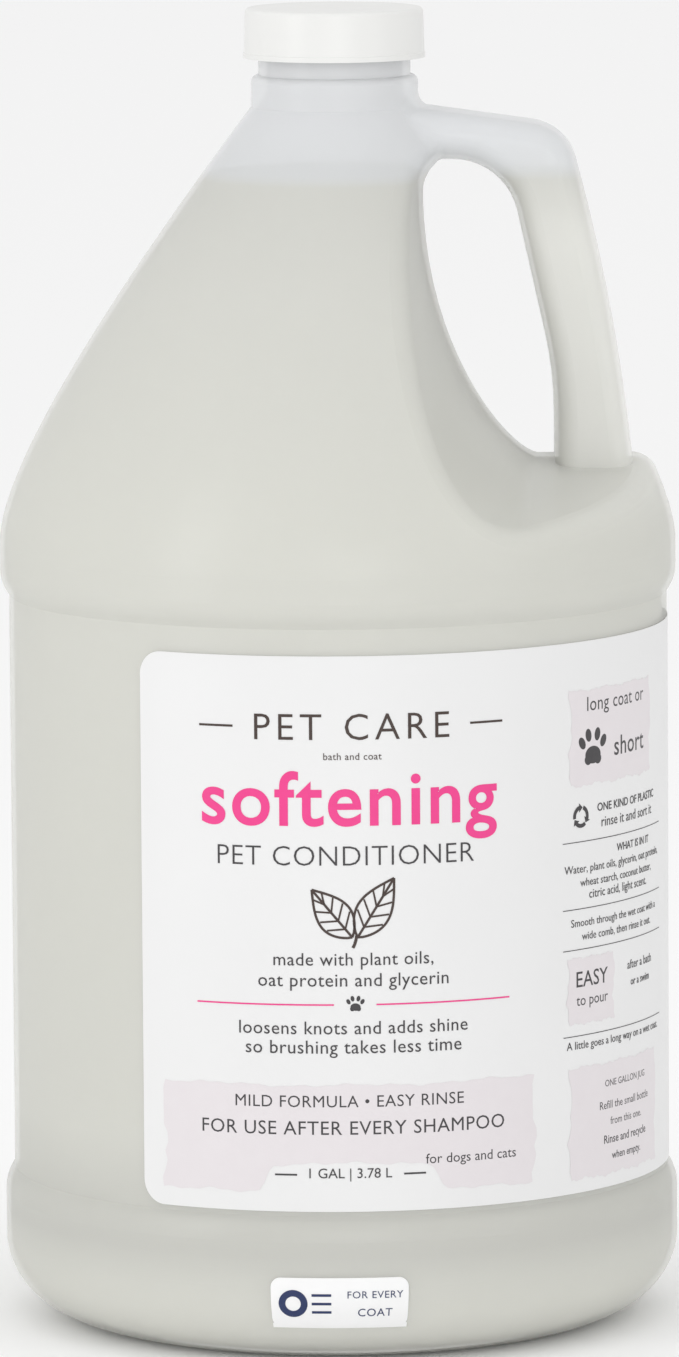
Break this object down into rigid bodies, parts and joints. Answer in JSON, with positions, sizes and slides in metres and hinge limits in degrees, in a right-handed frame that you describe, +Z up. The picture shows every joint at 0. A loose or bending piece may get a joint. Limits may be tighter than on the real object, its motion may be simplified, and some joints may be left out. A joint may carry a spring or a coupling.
{
  "type": "gallon jug of pet conditioner",
  "caption": "Round translucent jug with a hollow side handle, screw cap, wrap label and liquid filled to just below the top of the handle.",
  "frame": {"origin": "middle of the base, on the jug's axis, at the height of the ring it stands on", "axes": "+Z up through the neck and cap, +X toward the handle, -Y toward the front of the label"},
  "size_m": [0.1544, 0.1546, 0.3],
  "materials": {
    "jug": "natural translucent polyethylene, satin, blow moulded",
    "conditioner": "pale cloudy liquid",
    "screw_cap": "white moulded polypropylene",
    "cap_liner": "white foamed polyethylene",
    "label": "white film, printed, semi-gloss",
    "sticker": "white printed sticker"
  },
  "bodies": {
    "bottle": {"jug": "jug", "conditioner": "conditioner", "label": "label", "sticker": "sticker"},
    "liner": {"cap_liner": "cap_liner"},
    "cap": {"screw_cap": "screw_cap"}
  },
  "joints": [
    {"name": "cap_lift", "type": "slide", "parent": "bottle", "child": "liner", "axis": [0, 0, 1], "range_m": [0, 0.0255]},
    {"name": "cap_turn", "type": "hinge", "parent": "liner", "child": "cap", "pos_m": [0, 0, 0.29764], "axis": [0, 0, 1], "range_deg": [0, 2160]}
  ],
  "couplings": [
    {"joint": "cap_lift", "follows": "cap_turn", "m_per_rad": 0.00067376}
  ]
}
